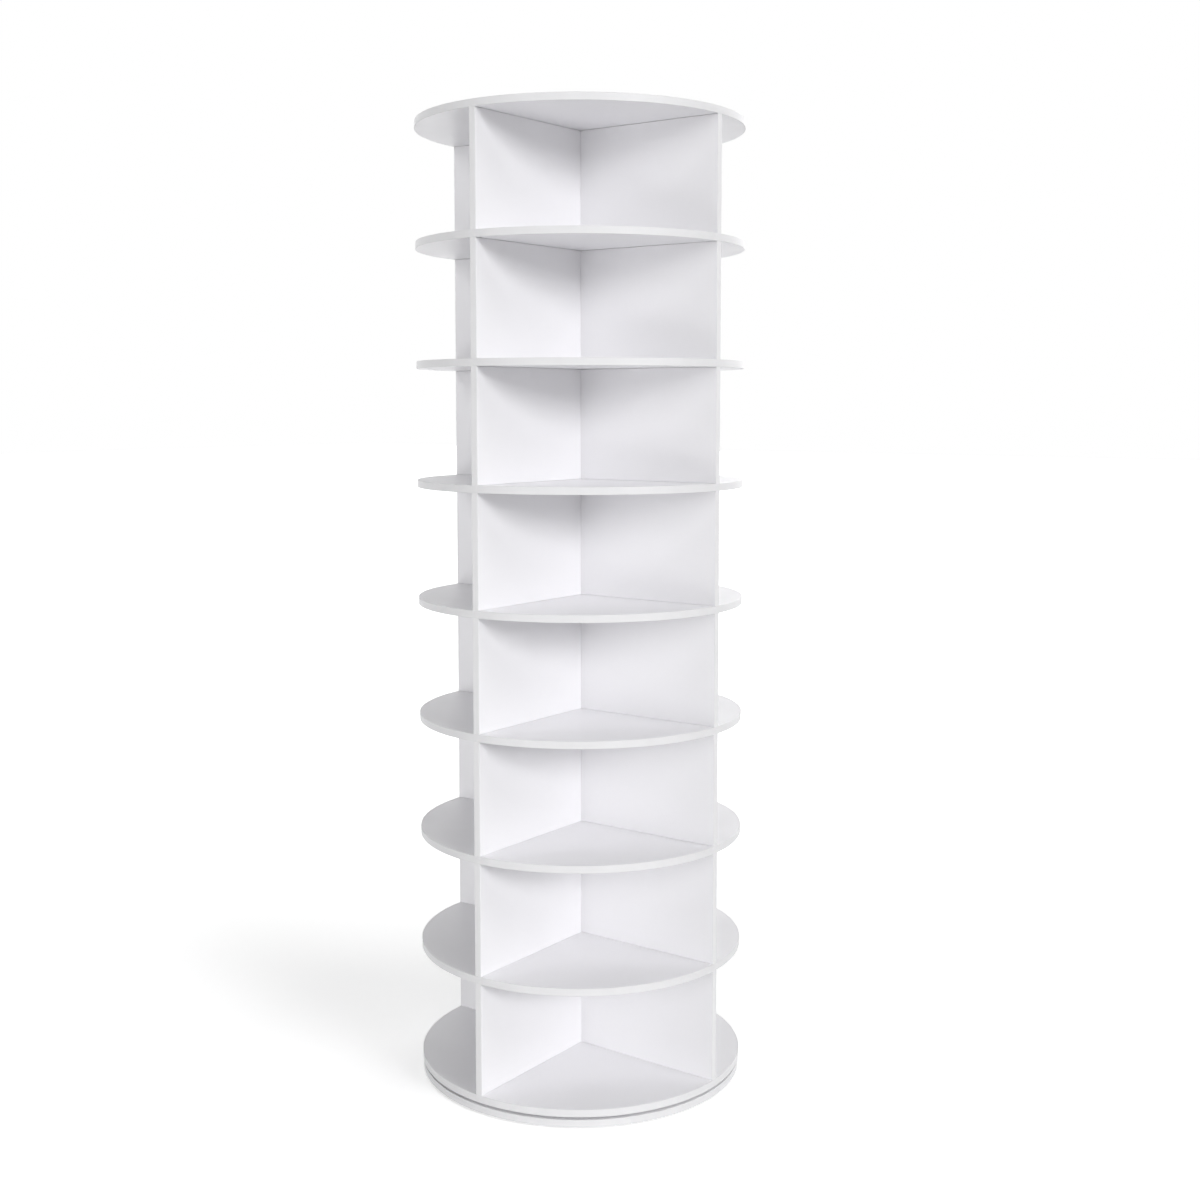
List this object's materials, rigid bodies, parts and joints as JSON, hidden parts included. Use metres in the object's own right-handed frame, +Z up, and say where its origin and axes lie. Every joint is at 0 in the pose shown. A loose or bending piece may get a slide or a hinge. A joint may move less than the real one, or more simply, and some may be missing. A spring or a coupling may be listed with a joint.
{
  "type": "rotating shoe tower",
  "caption": "Free-standing round shoe tower of white board: stacked disc shelves with crossed divider panels, turning on a thin ball-bearing turntable over a fixed base disc.",
  "frame": {"origin": "on the floor under the turning axis, at the bottom of the pads", "axes": "+Z up along the turning axis; the long panels stand in the YZ plane and the half panels in the XZ plane"},
  "size_m": [0.5499, 0.55, 1.608],
  "materials": {
    "shelf_board": "white melamine, satin",
    "divider_board": "white melamine, satin",
    "ring_aluminium": "turned, satin",
    "zinc_screw": "bright zinc plated",
    "cage_nylon": "natural nylon",
    "bearing_steel": "polished",
    "dowel_beech": "bare beech",
    "pad_rubber": "matte"
  },
  "bodies": {
    "base": {"floor_pads": "pad_rubber", "base_disc": "shelf_board", "turntable_inner_ring": "ring_aluminium", "inner_ring_screws": "zinc_screw"},
    "ball_cage": {"ball_cage": "cage_nylon", "bearing_balls": "bearing_steel"},
    "tower": {"turntable_outer_ring": "ring_aluminium", "outer_ring_screws": "zinc_screw", "bottom_panel_screws": "zinc_screw", "shelf_dowels": "dowel_beech", "bottom_disc": "shelf_board", "shelf_1": "shelf_board", "shelf_2": "shelf_board", "shelf_3": "shelf_board", "shelf_4": "shelf_board", "shelf_5": "shelf_board", "shelf_6": "shelf_board", "shelf_7": "shelf_board", "top_disc": "shelf_board", "long_panel_1": "divider_board", "right_half_panel_1": "divider_board", "left_half_panel_1": "divider_board", "long_panel_2": "divider_board", "right_half_panel_2": "divider_board", "left_half_panel_2": "divider_board", "long_panel_3": "divider_board", "right_half_panel_3": "divider_board", "left_half_panel_3": "divider_board", "long_panel_4": "divider_board", "right_half_panel_4": "divider_board", "left_half_panel_4": "divider_board", "long_panel_5": "divider_board", "right_half_panel_5": "divider_board", "left_half_panel_5": "divider_board", "long_panel_6": "divider_board", "right_half_panel_6": "divider_board", "left_half_panel_6": "divider_board", "long_panel_7": "divider_board", "right_half_panel_7": "divider_board", "left_half_panel_7": "divider_board", "long_panel_8": "divider_board", "right_half_panel_8": "divider_board", "left_half_panel_8": "divider_board"}
  },
  "joints": [
    {"name": "tower_spin", "type": "hinge", "parent": "base", "child": "tower", "pos_m": [0, 0, 0.01749], "axis": [0, 0, 1], "continuous": true},
    {"name": "cage_spin", "type": "hinge", "parent": "base", "child": "ball_cage", "pos_m": [0, 0, 0.01749], "axis": [0, 0, 1], "continuous": true}
  ],
  "couplings": [
    {"joint": "cage_spin", "follows": "tower_spin", "ratio": 0.5}
  ]
}
